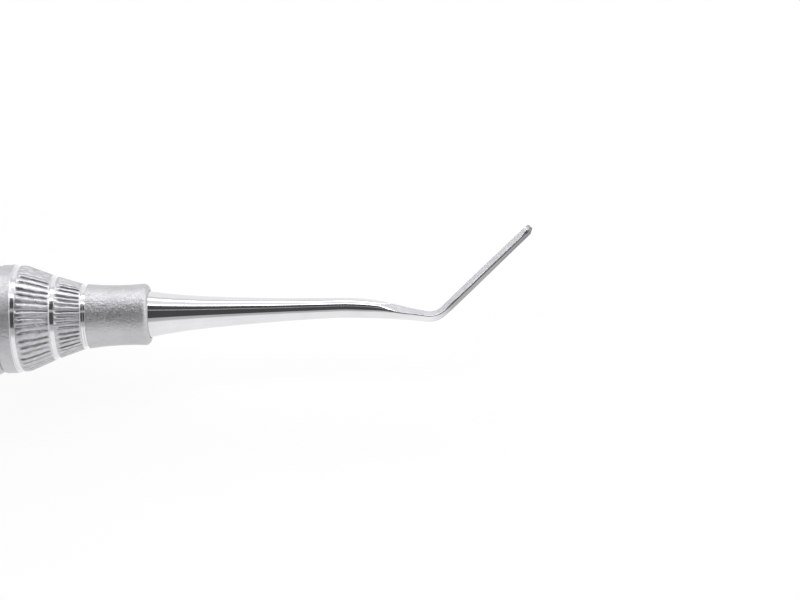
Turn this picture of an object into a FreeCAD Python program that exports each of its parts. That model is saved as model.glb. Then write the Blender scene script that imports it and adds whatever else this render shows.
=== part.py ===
import FreeCAD, Part
import math
import os

import Sketcher

# A hollow-handled dental elevator, in millimetres.
#
# The handle lies along X with the working end towards +X. It rests on one flat of its
# eight-sided grip, whose lowest face is z = 0, and the middle of that face is the origin.
# The blade is bent towards +Y, in the level plane of the handle's axis.
#
# Each end of the grip has the same nose: a turned cone with two fluted bands between ring
# grooves, and a waisted collar. "Station" is the distance from the grip's end face along
# the axis, positive away from the grip.

DIMENSIONS = {
    # Grip: an eight-sided tube
    "GripLength": 98.0,
    "GripApothem": 5.2,
    "GripCornerRound": 1.4,
    "GripBore": 4.3,
    "GripEndRadius": 4.86,
    "GripEndTaper": 2.4,
    "GripRingCount": 6,
    "GripRingPitch": 2.6,
    "GripRingMargin": 6.5,
    "GripRingRound": 0.35,
    "GripRingCentre": 5.3,
    # Cone: shoulder ring, two fluted bands and the spigot inside the grip
    "SpigotLength": 8.0,
    "ShoulderRadius": 5.0,
    "ShoulderChamfer": 0.22,
    "ShoulderEnd": 1.65,
    "BandRadius": 4.89,
    "BandBreak": 2.36,
    "BandRound": 1.2,
    "MidGrooveStation": 5.01,
    "MidGrooveSurface": 3.83,
    "ConeEnd": 7.70,
    "ConeEndRadius": 2.94,
    "RingGrooveWidth": 0.42,
    "RingGrooveDepth": 0.14,
    "FluteDepth": 0.11,
    "FluteAngle": 4.2,
    "FluteCount": 43,
    "FluteMargin": 0.30,
    # Seal ring in the spigot
    "SealStation": -4.0,
    "SealWidth": 1.2,
    "SealInner": 3.7,
    # Bores inside the cone
    "BushBore": 2.6,
    "BushSeat": 3.5,
    "CollarSpigot": 2.2,
    "CollarSpigotStart": 3.7,
    # Collar
    "CollarEnd": 13.56,
    "CollarEndRadius": 2.872,
    "CollarWaistCurve": 27.7,
    "CollarLipRound": 0.5,
    "CollarMouth": 2.2,
    "CollarMouthDepth": 0.6,
    # Tang, its bushing and its cross pin
    "TangRadius": 1.5,
    "TangRear": -7.0,
    "BushRear": -7.5,
    "PinRadius": 0.6,
    "PinLength": 5.0,
    "PinStation": -5.6,
    # Shank: its root, and its round tapering length in front of the collar
    "ShankRoot": 2.14,
    "ShankMidLength": 4.6,
    "ShankMidRadius": 1.545,
    "ShankRootCurve": 50.0,
    "ShankRoundLength": 17.0,
    "ShankRoundRadius": 0.94,
    "ShankCurve": 200.0,
    # Neck and blade: the path of their centre line
    "NeckCurve": 27.5,
    "NeckAngle": 10.5,
    "NeckRun": 4.42,
    "BendRadius": 1.9,
    "BladeAngle": 42.6,
    "BladeLength": 12.43,
    # Blade: the hollow of the gouge and the rounded end
    "HollowRadius": 1.3,
    "HollowDepth": 0.14,
    "HollowLength": 9.0,
    "HollowTilt": 1.2,
    "BladeEndRound": 0.80,
    # Plug in the rear collar
    "PlugStemStart": 6.0,
    "PlugHeadRadius": 2.14,
    "PlugDome": 1.1,
}

# Sections of the neck and blade: half width across the blade, half thickness, corner radius.
NECK_SECTIONS = {
    "Start": (0.94, 0.94, 0.93),
    "Early": (0.93, 0.91, 0.86),
    "Flatten": (0.97, 0.76, 0.62),
    "Flat": (1.00, 0.54, 0.34),
    "Thin": (0.96, 0.35, 0.14),
    "Bend": (0.93, 0.295, 0.09),
    "Heel": (1.00, 0.305, 0.08),
    "Middle": (0.98, 0.31, 0.07),
    "Fore": (0.90, 0.31, 0.06),
    "Tip": (0.84, 0.31, 0.05),
}


def make_sheet(doc):
    """The driving dimensions, one aliased cell each."""
    sheet = doc.addObject("Spreadsheet::Sheet", "Dims")
    values = dict(DIMENSIONS)
    for name, (width, thickness, corner) in NECK_SECTIONS.items():
        values["Section" + name + "Width"] = width
        values["Section" + name + "Thickness"] = thickness
        values["Section" + name + "Corner"] = corner
    for row, (alias, value) in enumerate(values.items(), start=1):
        sheet.set("A%d" % row, alias)
        sheet.set("B%d" % row, repr(value))
        sheet.setAlias("B%d" % row, alias)
    doc.recompute()
    return sheet


def dim(sheet, alias):
    """One driving dimension as a number."""
    return float(sheet.get(alias))


def origin_item(body, role):
    """A plane or axis of the body's own origin."""
    return [item for item in body.Origin.OriginFeatures if item.Role == role][0]


def new_sketch(body, name, role="XY_Plane"):
    sketch = body.newObject("Sketcher::SketchObject", name)
    sketch.AttachmentSupport = [(origin_item(body, role), "")]
    sketch.MapMode = "FlatFace"
    return sketch


def pin_point(sketch, geometry, end, x_rule, y_rule):
    """Hold one end of an edge at two expressions, measured from the sketch's origin."""
    for kind, rule, axis in (("DistanceX", x_rule, -2), ("DistanceY", y_rule, -1)):
        value = float(sketch.evalExpression(rule))
        if abs(value) < 1e-9:
            sketch.addConstraint(Sketcher.Constraint("PointOnObject", geometry, end, axis))
            continue
        index = sketch.addConstraint(Sketcher.Constraint(kind, -1, 1, geometry, end, value))
        sketch.setExpression("Constraints[%d]" % index, rule)


def bind(sketch, constraint, rule):
    index = sketch.addConstraint(constraint)
    sketch.setExpression("Constraints[%d]" % index, rule)


def add_circle(sketch, x_rule, y_rule, size_rule):
    """A circle held by expressions for its centre and radius."""
    centre = FreeCAD.Vector(float(sketch.evalExpression(x_rule)), float(sketch.evalExpression(y_rule)), 0)
    size = float(sketch.evalExpression(size_rule))
    circle = sketch.addGeometry(Part.Circle(centre, FreeCAD.Vector(0, 0, 1), size), False)
    pin_point(sketch, circle, 3, x_rule, y_rule)
    bind(sketch, Sketcher.Constraint("Radius", circle, size), size_rule)


def arc_through(start, finish, radius, bulge):
    """A circular arc between two points; bulge is the side of its middle, +1 is left."""
    chord = finish - start
    half = chord.Length / 2
    rise = radius - math.sqrt(radius * radius - half * half)
    side = FreeCAD.Vector(-chord.y, chord.x, 0).normalize()
    middle = (start + finish) / 2 + side * (rise * bulge)
    return Part.Arc(start, middle, finish)


def closed_profile(sketch, corners, arcs=None):
    """A closed outline. corners are (x, y) expressions. arcs maps the number of the corner
    that an arc starts from to its radius expression and the side it bulges to."""
    arcs = arcs or {}
    places = []
    for x_rule, y_rule in corners:
        x = float(sketch.evalExpression(x_rule))
        y = float(sketch.evalExpression(y_rule))
        places.append(FreeCAD.Vector(x, y, 0))
    starts = []
    ends = []
    for number, place in enumerate(places):
        following = places[(number + 1) % len(places)]
        if number not in arcs:
            index = sketch.addGeometry(Part.LineSegment(place, following), False)
            starts.append((index, 1))
            ends.append((index, 2))
            continue
        rule, bulge = arcs[number]
        radius = float(sketch.evalExpression(rule))
        index = sketch.addGeometry(arc_through(place, following, radius, bulge), False)
        # An arc of a sketch always runs anticlockwise, so its ends may be swapped.
        swapped = bulge > 0
        starts.append((index, 2 if swapped else 1))
        ends.append((index, 1 if swapped else 2))
    for number, (x_rule, y_rule) in enumerate(corners):
        before = ends[number - 1]
        after = starts[number]
        sketch.addConstraint(Sketcher.Constraint("Coincident", *before, *after))
        pin_point(sketch, *after, x_rule, y_rule)
    for number, (rule, bulge) in arcs.items():
        radius = float(sketch.evalExpression(rule))
        bind(sketch, Sketcher.Constraint("Radius", starts[number][0], radius), rule)


def turn(body, name, corners, arcs=None, kind="PartDesign::Revolution"):
    """Turn an outline, given as (station, radius) expressions, about the handle's axis."""
    sketch = new_sketch(body, name + "_outline")
    closed_profile(sketch, corners, arcs)
    turned = body.newObject(kind, name)
    turned.Profile = sketch
    turned.ReferenceAxis = (sketch, ["H_Axis"])
    turned.Angle = 360
    return turned


def groove_round(body, name, station_rule, centre_rule, size_rule):
    """A ring groove of round section, turned about the handle's axis."""
    sketch = new_sketch(body, name + "_section")
    add_circle(sketch, station_rule, centre_rule, size_rule)
    groove = body.newObject("PartDesign::Groove", name)
    groove.Profile = sketch
    groove.ReferenceAxis = (sketch, ["H_Axis"])
    groove.Angle = 360
    return groove


def ring_groove(doc, body, name, station_rule, surface_rule):
    """Cut one of the nose's ring grooves, which have a flat floor."""
    before = body.Shape.Volume
    rear = "%s - Dims.RingGrooveWidth / 2" % station_rule
    front = "%s + Dims.RingGrooveWidth / 2" % station_rule
    floor = "%s - Dims.RingGrooveDepth" % surface_rule
    clear = "%s + Dims.RingGrooveWidth" % surface_rule
    corners = [(rear, floor), (front, floor), (front, clear), (rear, clear)]
    turn(body, name, corners, kind="PartDesign::Groove")
    doc.recompute()
    require_cut(body, name, before)


def require_cut(body, name, before):
    if not body.Shape.Volume < before - 1e-6:
        raise RuntimeError(body.Label + ": " + name + " removed nothing")


def require_added(body, name, before):
    if not body.Shape.Volume > before + 1e-6:
        raise RuntimeError(body.Label + ": " + name + " added nothing")


def round_rims(doc, body, name, station, radius, size_rule):
    """Fillet the circular rims at one station and radius."""
    rims = []
    for number, edge in enumerate(body.Tip.Shape.Edges, start=1):
        if not isinstance(edge.Curve, Part.Circle):
            continue
        at_station = abs(edge.Curve.Center.x - station) < 1e-4
        if at_station and abs(edge.Curve.Radius - radius) < 1e-4:
            rims.append("Edge%d" % number)
    if not rims:
        raise RuntimeError(body.Label + ": no rim for " + name)
    base = body.Tip
    fillet = body.newObject("PartDesign::Fillet", name)
    fillet.Base = (base, rims)
    fillet.setExpression("Radius", size_rule)
    doc.recompute()


def new_body(doc, label, end):
    """A body in its nose's own frame: end is +1 for the front, -1 for the rear."""
    body = doc.addObject("PartDesign::Body", label)
    body.Label = label
    if end < 0:
        body.Placement.Rotation = FreeCAD.Rotation(FreeCAD.Vector(0, 0, 1), 180)
    body.setExpression("Placement.Base.x", "%s Dims.GripLength / 2" % ("" if end > 0 else "-"))
    body.setExpression("Placement.Base.z", "Dims.GripApothem")
    doc.recompute()
    return body


def build_grip(doc):
    """Eight-sided tube with rounded corners, its ends turned down to the shoulder ring."""
    body = doc.addObject("PartDesign::Body", "grip_tube")
    body.Label = "grip_tube"
    body.setExpression("Placement.Base.z", "Dims.GripApothem")
    sketch = new_sketch(body, "grip_section", "YZ_Plane")
    reach = "Dims.GripApothem"
    half = "Dims.GripApothem * tan(22.5 deg)"
    corners = []
    for step in range(4):
        signs = ((1, 1), (-1, 1), (-1, -1), (1, -1))[step]
        near = ("%d * %s" % (signs[0], reach), "%d * %s" % (signs[1], half))
        far = ("%d * %s" % (signs[0], half), "%d * %s" % (signs[1], reach))
        corners.extend([near, far] if step % 2 == 0 else [far, near])
    closed_profile(sketch, corners)
    pad = body.newObject("PartDesign::Pad", "grip_bar")
    pad.Profile = sketch
    pad.Midplane = True
    pad.setExpression("Length", "Dims.GripLength")
    doc.recompute()

    length = float(pad.evalExpression("Dims.GripLength"))
    long_edges = []
    for number, edge in enumerate(body.Tip.Shape.Edges, start=1):
        if abs(edge.Length - length) < 1e-6:
            long_edges.append("Edge%d" % number)
    rounded = body.newObject("PartDesign::Fillet", "grip_corners")
    rounded.Base = (pad, long_edges)
    rounded.setExpression("Radius", "Dims.GripCornerRound")
    doc.recompute()

    before = body.Shape.Volume
    bore_sketch = new_sketch(body, "bore_section", "YZ_Plane")
    add_circle(bore_sketch, "0", "0", "Dims.GripBore")
    bore = body.newObject("PartDesign::Pocket", "grip_bore")
    bore.Profile = bore_sketch
    bore.Midplane = True
    bore.setExpression("Length", "Dims.GripLength + 2")
    doc.recompute()
    require_cut(body, "grip_bore", before)

    # The end tapers cut only the corners, so each flat ends in a scallop.
    for name, sign in (("front_taper", ""), ("rear_taper", "-")):
        before = body.Shape.Volume
        face = "%sDims.GripLength / 2" % sign
        inner = "%s(Dims.GripLength / 2 - Dims.GripEndTaper)" % sign
        outside = "Dims.GripApothem * 1.15"
        corners = [(face, "Dims.GripEndRadius"), (face, outside), (inner, outside)]
        turn(body, name, corners, kind="PartDesign::Groove")
        doc.recompute()
        require_cut(body, name, before)
    cut_finger_rings(doc, body)
    return body


def cut_finger_rings(doc, body):
    """A group of turned finger rings near each end of the grip."""
    before = body.Shape.Volume
    run = "Dims.GripRingPitch * (Dims.GripRingCount - 1)"
    outer = "(Dims.GripLength / 2 - Dims.GripRingMargin)"
    firsts = (("front_finger_ring", "%s - %s" % (outer, run)), ("rear_finger_ring", "-%s" % outer))
    rings = []
    for name, station in firsts:
        rings.append(groove_round(body, name, station, "Dims.GripRingCentre", "Dims.GripRingRound"))
    doc.recompute()
    pattern = body.newObject("PartDesign::LinearPattern", "finger_rings")
    pattern.Originals = rings
    pattern.Direction = (origin_item(body, "X_Axis"), [""])
    pattern.setExpression("Length", run)
    pattern.setExpression("Occurrences", "Dims.GripRingCount")
    body.Tip = pattern
    doc.recompute()
    require_cut(body, "finger_rings", before)


def build_cone(doc, label, end):
    """Nose cone: spigot, shoulder ring and two fluted bands between ring grooves."""
    body = new_body(doc, label, end)
    corners = [
        ("-Dims.SpigotLength", "Dims.BushBore"),
        ("-Dims.SpigotLength", "Dims.GripBore"),
        ("Dims.SealStation - Dims.SealWidth / 2", "Dims.GripBore"),
        ("Dims.SealStation - Dims.SealWidth / 2", "Dims.SealInner"),
        ("Dims.SealStation + Dims.SealWidth / 2", "Dims.SealInner"),
        ("Dims.SealStation + Dims.SealWidth / 2", "Dims.GripBore"),
        ("0", "Dims.GripBore"),
        ("0", "Dims.ShoulderRadius - Dims.ShoulderChamfer"),
        ("Dims.ShoulderChamfer", "Dims.ShoulderRadius"),
        ("Dims.ShoulderEnd", "Dims.ShoulderRadius"),
        ("Dims.ShoulderEnd", "Dims.BandRadius"),
        ("Dims.BandBreak", "Dims.BandRadius"),
        ("Dims.MidGrooveStation", "Dims.MidGrooveSurface"),
        ("Dims.ConeEnd", "Dims.ConeEndRadius"),
        ("Dims.ConeEnd", "Dims.CollarSpigot"),
        ("Dims.CollarSpigotStart", "Dims.CollarSpigot"),
        ("Dims.CollarSpigotStart", "Dims.BushBore"),
    ]
    turn(body, "nose", corners)
    doc.recompute()
    sheet = doc.getObject("Dims")
    rim = (dim(sheet, "BandBreak"), dim(sheet, "BandRadius"))
    round_rims(doc, body, "band_shoulder", *rim, "Dims.BandRound")
    cut_flutes(doc, body)
    ring_groove(doc, body, "rear_ring", "Dims.ShoulderEnd", "Dims.BandRadius")
    ring_groove(doc, body, "middle_ring", "Dims.MidGrooveStation", "Dims.MidGrooveSurface")
    ring_groove(doc, body, "front_ring", "Dims.ConeEnd", "Dims.ConeEndRadius")
    return body


def cut_flutes(doc, body):
    """Lengthwise flutes on both bands, one pair cut and then repeated round the axis."""
    before = body.Shape.Volume
    ends = (
        ("Dims.BandBreak", "Dims.BandRadius", "Dims.MidGrooveStation", "Dims.MidGrooveSurface"),
        ("Dims.MidGrooveStation", "Dims.MidGrooveSurface", "Dims.ConeEnd", "Dims.ConeEndRadius"),
    )
    cuts = []
    for number, (back, back_radius, front, front_radius) in enumerate(ends, start=1):
        slope = "(%s - %s) / (%s - %s)" % (front_radius, back_radius, front, back)
        first = "%s + Dims.FluteMargin" % back
        last = "%s - Dims.FluteMargin" % front
        deep_first = "%s + %s * Dims.FluteMargin - Dims.FluteDepth" % (back_radius, slope)
        deep_last = "%s - %s * Dims.FluteMargin - Dims.FluteDepth" % (front_radius, slope)
        clear = "+ Dims.FluteDepth * 3"
        sketch = new_sketch(body, "flute_%d_outline" % number)
        corners = [
            (first, deep_first),
            (last, deep_last),
            (last, deep_last + clear),
            (first, deep_first + clear),
        ]
        closed_profile(sketch, corners)
        cut = body.newObject("PartDesign::Groove", "flute_%d" % number)
        cut.Profile = sketch
        cut.ReferenceAxis = (sketch, ["H_Axis"])
        cut.Midplane = True
        cut.setExpression("Angle", "Dims.FluteAngle")
        cuts.append(cut)
        doc.recompute()
    pattern = body.newObject("PartDesign::PolarPattern", "flutes")
    pattern.Originals = cuts
    pattern.Axis = (origin_item(body, "X_Axis"), [""])
    pattern.Angle = 360
    pattern.setExpression("Occurrences", "Dims.FluteCount")
    body.Tip = pattern
    doc.recompute()
    require_cut(body, "flutes", before)


def build_collar(doc, label, end):
    """Waisted collar with a rounded lip, a spigot in the cone and a bore for the tang."""
    body = new_body(doc, label, end)
    corners = [
        ("Dims.CollarSpigotStart", "Dims.TangRadius"),
        ("Dims.CollarSpigotStart", "Dims.CollarSpigot"),
        ("Dims.ConeEnd", "Dims.CollarSpigot"),
        ("Dims.ConeEnd", "Dims.ConeEndRadius + 0.06"),
        ("Dims.CollarEnd", "Dims.CollarEndRadius"),
        ("Dims.CollarEnd", "Dims.CollarMouth"),
        ("Dims.CollarEnd - Dims.CollarMouthDepth", "Dims.CollarMouth"),
        ("Dims.CollarEnd - Dims.CollarMouthDepth", "Dims.TangRadius"),
    ]
    turn(body, "collar", corners, {3: ("Dims.CollarWaistCurve", -1)})
    doc.recompute()
    sheet = doc.getObject("Dims")
    lip = (dim(sheet, "CollarEnd"), dim(sheet, "CollarEndRadius"))
    round_rims(doc, body, "lip", *lip, "Dims.CollarLipRound")
    ring_groove(doc, body, "rear_ring", "Dims.ConeEnd", "Dims.ConeEndRadius")
    return body


def build_seal(doc, label, end):
    """Square-section ring that fills the groove in the cone's spigot."""
    body = new_body(doc, label, end)
    back = "Dims.SealStation - Dims.SealWidth / 2"
    front = "Dims.SealStation + Dims.SealWidth / 2"
    corners = [
        (back, "Dims.SealInner"),
        (back, "Dims.GripBore"),
        (front, "Dims.GripBore"),
        (front, "Dims.SealInner"),
    ]
    turn(body, "ring", corners)
    return body


def cross_hole(doc, body):
    """Hole across the axis for the tang's pin, through everything on its line."""
    before = body.Shape.Volume
    sketch = new_sketch(body, "pin_hole_outline")
    add_circle(sketch, "Dims.PinStation", "0", "Dims.PinRadius")
    hole = body.newObject("PartDesign::Pocket", "pin_hole")
    hole.Profile = sketch
    hole.Midplane = True
    hole.setExpression("Length", "Dims.BushBore * 2 + 2")
    doc.recompute()
    require_cut(body, "pin_hole", before)


def build_bushing(doc):
    """Sleeve between the cone's bore and the rear of the tang."""
    body = new_body(doc, "tang_bushing", 1)
    corners = [
        ("Dims.BushRear", "Dims.TangRadius"),
        ("Dims.BushRear", "Dims.BushBore"),
        ("Dims.BushSeat", "Dims.BushBore"),
        ("Dims.BushSeat", "Dims.TangRadius"),
    ]
    turn(body, "sleeve", corners)
    doc.recompute()
    cross_hole(doc, body)
    return body


def build_pin(doc):
    """Pin through the bushing and the tang, which keeps the tip from turning."""
    pin = doc.addObject("Part::Cylinder", "tang_pin")
    pin.Label = "tang_pin"
    pin.setExpression("Radius", "Dims.PinRadius")
    pin.setExpression("Height", "Dims.PinLength")
    pin.setExpression("Placement.Base.x", "Dims.GripLength / 2 + Dims.PinStation")
    pin.setExpression("Placement.Base.z", "Dims.GripApothem - Dims.PinLength / 2")
    return pin


class BladePath:
    """Centre line of the neck and blade: an arc, a straight, the sharp bend and a straight.
    Places are (station, sideways) with the angle to the handle's axis in degrees."""

    def __init__(self, sheet):
        self.radius = dim(sheet, "NeckCurve")
        self.neck = math.radians(dim(sheet, "NeckAngle"))
        self.blade = math.radians(dim(sheet, "BladeAngle"))
        self.bend_radius = dim(sheet, "BendRadius")
        self.start = dim(sheet, "CollarEnd") + dim(sheet, "ShankRoundLength")
        arc_end_x = self.start + self.radius * math.sin(self.neck)
        arc_end_y = -self.radius * (1 - math.cos(self.neck))
        run = dim(sheet, "NeckRun")
        self.corner_x = arc_end_x + run * math.cos(self.neck)
        self.corner_y = arc_end_y - run * math.sin(self.neck)
        turned = self.neck + self.blade
        self.tangent = self.bend_radius * math.tan(turned / 2)

    def on_neck_arc(self, share):
        angle = self.neck * share
        x = self.start + self.radius * math.sin(angle)
        y = -self.radius * (1 - math.cos(angle))
        return x, y, -math.degrees(angle)

    def before_corner(self, distance):
        x = self.corner_x - distance * math.cos(self.neck)
        y = self.corner_y + distance * math.sin(self.neck)
        return x, y, -math.degrees(self.neck)

    def on_bend(self, share):
        angle = -self.neck + (self.neck + self.blade) * share
        start_x, start_y, _ = self.before_corner(self.tangent)
        centre_x = start_x + self.bend_radius * math.sin(self.neck)
        centre_y = start_y + self.bend_radius * math.cos(self.neck)
        x = centre_x + self.bend_radius * math.sin(angle)
        y = centre_y - self.bend_radius * math.cos(angle)
        return x, y, math.degrees(angle)

    def after_corner(self, distance):
        x = self.corner_x + distance * math.cos(self.blade)
        y = self.corner_y + distance * math.sin(self.blade)
        return x, y, math.degrees(self.blade)


def section_sketch(body, name, section, place):
    """A rounded rectangle square to the path, with its corner arcs bound to the sheet."""
    x, y, angle = place
    sketch = new_sketch(body, name, "YZ_Plane")
    turned = FreeCAD.Rotation(FreeCAD.Vector(0, 1, 0), angle)
    sketch.AttachmentOffset = FreeCAD.Placement(FreeCAD.Vector(y, 0, x), turned)
    thick = "Dims.Section%sThickness" % section
    wide = "Dims.Section%sWidth" % section
    corner = "Dims.Section%sCorner" % section
    corners = []
    arcs = {}
    for across, up in ((1, 1), (-1, 1), (-1, -1), (1, -1)):
        side = ("%d * %s" % (across, thick), "%d * (%s - %s)" % (up, wide, corner))
        top = ("%d * (%s - %s)" % (across, thick, corner), "%d * %s" % (up, wide))
        first, second = (side, top) if across == up else (top, side)
        arcs[len(corners)] = (corner, -1)
        corners.extend([first, second])
    closed_profile(sketch, corners, arcs)
    return sketch


def build_tip(doc, sheet):
    """Tang, tapering shank, flattened neck and gouge blade, forged in one piece."""
    body = new_body(doc, "working_tip", 1)
    seat = "Dims.CollarEnd - Dims.CollarMouthDepth"
    corners = [
        ("Dims.TangRear", "0"),
        ("Dims.TangRear", "Dims.TangRadius"),
        (seat, "Dims.TangRadius"),
        (seat, "Dims.ShankRoot"),
        ("Dims.CollarEnd", "Dims.ShankRoot"),
        ("Dims.CollarEnd + Dims.ShankMidLength", "Dims.ShankMidRadius"),
        ("Dims.CollarEnd + Dims.ShankRoundLength", "Dims.ShankRoundRadius"),
        ("Dims.CollarEnd + Dims.ShankRoundLength", "0"),
    ]
    arcs = {4: ("Dims.ShankRootCurve", -1), 5: ("Dims.ShankCurve", -1)}
    turn(body, "shank", corners, arcs)
    doc.recompute()
    cross_hole(doc, body)

    path = BladePath(sheet)
    tip_run = dim(sheet, "BladeLength")
    neck = [
        ("Start", path.on_neck_arc(0)),
        ("Early", path.on_neck_arc(0.5)),
        ("Flatten", path.on_neck_arc(0.9)),
        ("Flat", path.before_corner(3.2)),
        ("Thin", path.before_corner(1.8)),
        ("Bend", path.on_bend(0)),
    ]
    blade = [
        ("Bend", path.on_bend(1)),
        ("Heel", path.after_corner(2.4)),
        ("Middle", path.after_corner(tip_run * 0.45)),
        ("Fore", path.after_corner(tip_run * 0.75)),
        ("Tip", path.after_corner(tip_run)),
    ]
    loft(doc, body, "neck", neck)
    bend_ribbon(doc, body, path)
    loft(doc, body, "blade", blade)
    cut_hollow(doc, body, path.after_corner(tip_run))
    round_blade_end(doc, body, path.after_corner(tip_run))
    return body


def loft(doc, body, name, stations):
    """One smooth stretch of the tip through its sections."""
    before = body.Shape.Volume
    sketches = []
    for number, (section, place) in enumerate(stations, start=1):
        sketches.append(section_sketch(body, "%s_section_%d" % (name, number), section, place))
    stretch = body.newObject("PartDesign::AdditiveLoft", name)
    stretch.Profile = sketches[0]
    stretch.Sections = sketches[1:]
    doc.recompute()
    require_added(body, name, before)


def bend_ribbon(doc, body, path):
    """The sharp bend: its section swung about the middle of the bend."""
    before = body.Shape.Volume
    sketch = section_sketch(body, "bend_section", "Bend", path.on_bend(0))
    size = float(sketch.evalExpression("Dims.BendRadius"))
    low = FreeCAD.Vector(size, -1, 0)
    high = FreeCAD.Vector(size, 1, 0)
    axis = sketch.addGeometry(Part.LineSegment(low, high), True)
    pin_point(sketch, axis, 1, "Dims.BendRadius", "-1")
    pin_point(sketch, axis, 2, "Dims.BendRadius", "1")
    bend = body.newObject("PartDesign::Revolution", "bend")
    bend.Profile = sketch
    bend.ReferenceAxis = (sketch, ["Axis0"])
    bend.setExpression("Angle", "Dims.NeckAngle + Dims.BladeAngle")
    doc.recompute()
    require_added(body, "bend", before)


def cut_hollow(doc, body, place):
    """The gouge's hollow: a shallow round channel in the inner face, deepest at the end."""
    before = body.Shape.Volume
    x, y, angle = place
    sketch = new_sketch(body, "hollow_section", "YZ_Plane")
    tilt = float(sketch.evalExpression("Dims.HollowTilt"))
    turned = FreeCAD.Rotation(FreeCAD.Vector(0, 1, 0), angle + tilt)
    sketch.AttachmentOffset = FreeCAD.Placement(FreeCAD.Vector(y, 0, x), turned)
    centre = "Dims.HollowDepth - Dims.HollowRadius - Dims.SectionTipThickness"
    add_circle(sketch, centre, "0", "Dims.HollowRadius")
    hollow = body.newObject("PartDesign::Pocket", "hollow")
    hollow.Profile = sketch
    hollow.Midplane = True
    hollow.setExpression("Length", "Dims.HollowLength * 2")
    doc.recompute()
    require_cut(body, "hollow", before)


def round_blade_end(doc, body, place):
    """Round the two corners of the blade's end."""
    before = body.Shape.Volume
    x, y, angle = place
    sketch = new_sketch(body, "end_outline", "XZ_Plane")
    turned = FreeCAD.Rotation(FreeCAD.Vector(0, 1, 0), angle)
    sketch.AttachmentOffset = FreeCAD.Placement(FreeCAD.Vector(x, 0, -y), turned)
    size = "Dims.BladeEndRound"
    wide = "Dims.SectionTipWidth"
    for side in (1, -1):
        corners = [
            ("-%s" % size, "%d * (%s + 1)" % (side, wide)),
            ("1", "%d * (%s + 1)" % (side, wide)),
            ("1", "%d * (%s - %s)" % (side, wide, size)),
            ("0", "%d * (%s - %s)" % (side, wide, size)),
            ("-%s" % size, "%d * %s" % (side, wide)),
        ]
        closed_profile(sketch, corners, {3: (size, -side)})
    cut = body.newObject("PartDesign::Pocket", "end_corners")
    cut.Profile = sketch
    cut.Midplane = True
    cut.Length = 3
    doc.recompute()
    require_cut(body, "end_corners", before)


def build_plug(doc):
    """Domed plug that closes the rear collar."""
    body = new_body(doc, "rear_plug", -1)
    corners = [
        ("Dims.PlugStemStart", "0"),
        ("Dims.PlugStemStart", "Dims.TangRadius"),
        ("Dims.CollarEnd - Dims.CollarMouthDepth", "Dims.TangRadius"),
        ("Dims.CollarEnd - Dims.CollarMouthDepth", "Dims.PlugHeadRadius"),
        ("Dims.CollarEnd", "Dims.PlugHeadRadius"),
        ("Dims.CollarEnd + Dims.PlugDome", "0"),
    ]
    dome = "(Dims.PlugHeadRadius ^ 2 + Dims.PlugDome ^ 2) / (2 * Dims.PlugDome)"
    turn(body, "plug", corners, {4: (dome, 1)})
    return body


def check_and_export(doc, pieces):
    """Stop on any failed object, then write one STEP file per piece."""
    doc.recompute()
    for item in doc.Objects:
        if "Invalid" in item.State or "Error" in item.State:
            raise RuntimeError("%s failed: %s" % (item.Label, item.State))
    for piece in pieces:
        if piece.Shape.isNull() or not piece.Shape.isValid():
            raise RuntimeError("%s has no valid shape" % piece.Label)
    os.makedirs("parts", exist_ok=True)
    for piece in pieces:
        box = piece.Shape.optimalBoundingBox(True, False)
        bulk = (piece.Label, len(piece.Shape.Solids), piece.Shape.Volume)
        reach = (box.XMin, box.XMax, box.YMin, box.YMax)
        print("%-16s solids %d  volume %9.2f  x %7.2f..%7.2f  y %6.2f..%6.2f" % (bulk + reach))
        piece.Shape.exportStep("parts/%s.step" % piece.Label)


def main():
    doc = FreeCAD.newDocument("dental_elevator")
    sheet = make_sheet(doc)
    pieces = [
        build_grip(doc),
        build_cone(doc, "front_cone", 1),
        build_collar(doc, "front_collar", 1),
        build_seal(doc, "front_seal_ring", 1),
        build_bushing(doc),
        build_pin(doc),
        build_tip(doc, sheet),
        build_cone(doc, "rear_cone", -1),
        build_collar(doc, "rear_collar", -1),
        build_seal(doc, "rear_seal_ring", -1),
        build_plug(doc),
    ]
    check_and_export(doc, pieces)


main()
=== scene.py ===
import math

import bpy
import numpy as np
from mathutils import Matrix, Vector


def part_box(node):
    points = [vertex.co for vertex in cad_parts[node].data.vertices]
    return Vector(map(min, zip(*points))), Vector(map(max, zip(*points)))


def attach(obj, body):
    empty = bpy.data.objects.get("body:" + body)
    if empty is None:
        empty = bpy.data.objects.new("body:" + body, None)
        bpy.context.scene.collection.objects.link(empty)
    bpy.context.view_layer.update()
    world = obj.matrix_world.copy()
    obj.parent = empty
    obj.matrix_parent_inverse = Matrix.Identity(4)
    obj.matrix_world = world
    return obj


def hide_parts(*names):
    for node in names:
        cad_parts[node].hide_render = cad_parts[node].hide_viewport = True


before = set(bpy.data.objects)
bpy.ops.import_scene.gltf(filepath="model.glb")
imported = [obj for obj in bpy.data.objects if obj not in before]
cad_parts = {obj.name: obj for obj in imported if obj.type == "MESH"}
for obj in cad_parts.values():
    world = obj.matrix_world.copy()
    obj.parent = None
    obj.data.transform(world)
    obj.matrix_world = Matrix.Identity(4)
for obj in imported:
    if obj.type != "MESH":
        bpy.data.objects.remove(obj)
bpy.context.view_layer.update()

# A dental elevator, lying on one flat of its eight-sided grip. The handle lies along X with
# the working end towards +X, and the blade is bent towards +Y. Everything is in metres, in
# the frame of the CAD model. "Station" is the distance in front of the grip's end face,
# and in the grip itself it is x.

MM = 0.001

# ---- Places from the frame

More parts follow.
